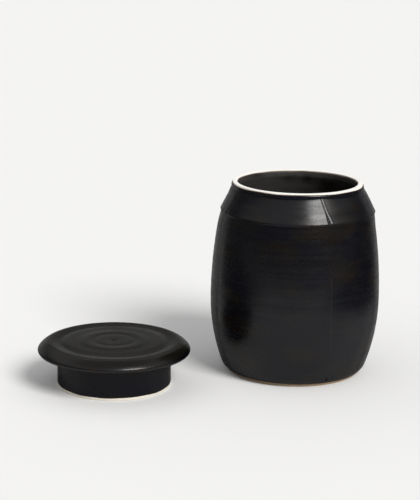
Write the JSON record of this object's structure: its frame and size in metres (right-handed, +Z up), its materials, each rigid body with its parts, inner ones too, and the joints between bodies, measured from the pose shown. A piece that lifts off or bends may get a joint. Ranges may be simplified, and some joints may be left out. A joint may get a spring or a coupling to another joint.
{
  "type": "lidded sugar bowl",
  "caption": "Tall rounded sugar bowl in black satin glaze with a bare white lip, and a flat lid with a deep collar that drops into its mouth.",
  "frame": {"origin": "centre of the bowl's foot ring, on the table", "axes": "+Z up along the bowl's axis; the camera looks along +Y; the lid lies beside the bowl towards -X and -Y"},
  "size_m": [0.1798, 0.1188, 0.1025],
  "materials": {
    "porcelain": "unglazed, matt",
    "black_glaze": "black satin glaze"
  },
  "bodies": {
    "bowl": {"bowl_body": "porcelain", "bowl_outer_glaze": "black_glaze", "bowl_inner_glaze": "black_glaze"},
    "lid": {"lid_disc": "porcelain", "lid_collar": "porcelain", "lid_outer_glaze": "black_glaze", "lid_inner_glaze": "black_glaze"}
  },
  "joints": [
    {"name": "lid_lift", "type": "slide", "parent": "bowl", "child": "lid", "axis": [0, 0, 1], "range_m": [0, 0.11]}
  ]
}
